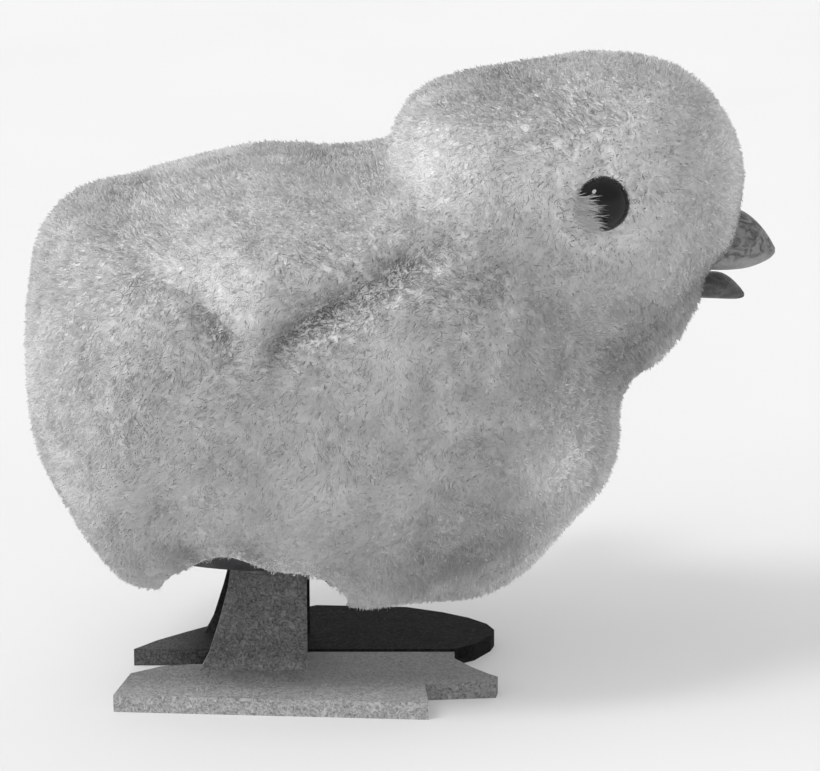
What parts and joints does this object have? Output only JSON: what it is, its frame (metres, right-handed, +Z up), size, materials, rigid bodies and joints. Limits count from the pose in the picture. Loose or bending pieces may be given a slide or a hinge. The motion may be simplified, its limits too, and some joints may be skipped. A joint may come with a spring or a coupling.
{
  "type": "wind-up hopping chick",
  "caption": "Small plush-covered clockwork toy chick on two stamped tin feet that a crank inside lifts and lowers, wound by a key on its left side.",
  "frame": {"origin": "on the floor plane between the two soles, on the toy's mid-plane, just inside the right sole's inner edge", "axes": "+X forward to the beak, +Y to the chick's left where the key is, +Z up; the soles' undersides are Z = 0"},
  "size_m": [0.0707, 0.0541, 0.0605],
  "materials": {
    "plush": "matte",
    "wing_plush": "matte",
    "shell_tin": "satin",
    "bead_glass": "gloss",
    "beak_enamel": "satin",
    "foot_enamel": "satin",
    "frame_tin": "satin",
    "gear_brass": "satin",
    "arbor_steel": "polished",
    "spring_steel": "satin",
    "key_tin": "satin",
    "eyelet_brass": "satin"
  },
  "bodies": {
    "chassis": {"plush_cover": "plush", "wing_right": "wing_plush", "wing_left": "wing_plush", "body_shell_right": "shell_tin", "body_shell_left": "shell_tin", "belly_plate": "shell_tin", "eye_right": "bead_glass", "eye_left": "bead_glass", "eye_washers": "arbor_steel", "upper_beak": "beak_enamel", "lower_beak": "beak_enamel", "motor_plate_right": "frame_tin", "motor_plate_left": "frame_tin", "frame_pillars": "frame_tin", "case_screws": "arbor_steel", "guide_rod": "arbor_steel", "guide_clips": "frame_tin", "mainspring": "spring_steel", "key_eyelet": "eyelet_brass"},
    "winding": {"winding_arbor": "arbor_steel", "winding_key": "key_tin", "ratchet_wheel": "arbor_steel"},
    "great": {"great_wheel": "gear_brass", "click_rivet": "gear_brass", "click_spring": "spring_steel"},
    "click_arm": {"click": "arbor_steel"},
    "second": {"second_arbor": "arbor_steel", "second_wheel": "gear_brass", "second_pinion": "arbor_steel"},
    "crank": {"crankshaft": "arbor_steel", "crank_pinion": "arbor_steel", "crank_gear": "gear_brass", "crank_disc_right": "frame_tin", "crank_disc_left": "frame_tin", "leg_washers": "frame_tin"},
    "right_leg": {"right_foot": "foot_enamel"},
    "left_leg": {"left_foot": "foot_enamel"},
    "escape": {"escape_arbor": "arbor_steel", "escape_pinion": "arbor_steel", "escape_wheel": "gear_brass"},
    "rocker": {"pallet_arbor": "arbor_steel", "pallet": "frame_tin"}
  },
  "joints": [
    {"name": "crank_spin", "type": "hinge", "parent": "chassis", "child": "crank", "pos_m": [-0.0125, 0, 0.025], "axis": [0, 1, 0], "continuous": true},
    {"name": "right_leg_swing", "type": "hinge", "parent": "crank", "child": "right_leg", "pos_m": [-0.0125, -0.0056, 0.0262], "axis": [0, 1, 0], "continuous": true},
    {"name": "left_leg_swing", "type": "hinge", "parent": "crank", "child": "left_leg", "pos_m": [-0.0125, 0.0056, 0.0262], "axis": [0, 1, 0], "continuous": true},
    {"name": "second_spin", "type": "hinge", "parent": "chassis", "child": "second", "pos_m": [-0.0076, 0, 0.03326], "axis": [0, 1, 0], "continuous": true},
    {"name": "great_spin", "type": "hinge", "parent": "chassis", "child": "great", "pos_m": [0.003, 0, 0.0295], "axis": [0, 1, 0], "continuous": true},
    {"name": "escape_spin", "type": "hinge", "parent": "chassis", "child": "escape", "pos_m": [-0.0174, 0, 0.0308], "axis": [0, 1, 0], "continuous": true},
    {"name": "key_turn", "type": "hinge", "parent": "chassis", "child": "winding", "pos_m": [0.003, 0, 0.0295], "axis": [0, 1, 0], "continuous": true},
    {"name": "click_lift", "type": "hinge", "parent": "great", "child": "click_arm", "pos_m": [0.003, 0.00185, 0.0348], "axis": [0, 1, 0], "range_deg": [-14, 0], "stiffness_Nm_per_rad": 0.0002},
    {"name": "pallet_rock", "type": "hinge", "parent": "chassis", "child": "rocker", "pos_m": [-0.0182, 0, 0.0368], "axis": [0, 1, 0], "range_deg": [-3, 3]}
  ],
  "couplings": [
    {"joint": "right_leg_swing", "follows": "crank_spin", "ratio": -1},
    {"joint": "left_leg_swing", "follows": "crank_spin", "ratio": -1},
    {"joint": "second_spin", "follows": "crank_spin", "ratio": -0.2},
    {"joint": "great_spin", "follows": "crank_spin", "ratio": 0.05},
    {"joint": "escape_spin", "follows": "crank_spin", "ratio": -3.75}
  ]
}
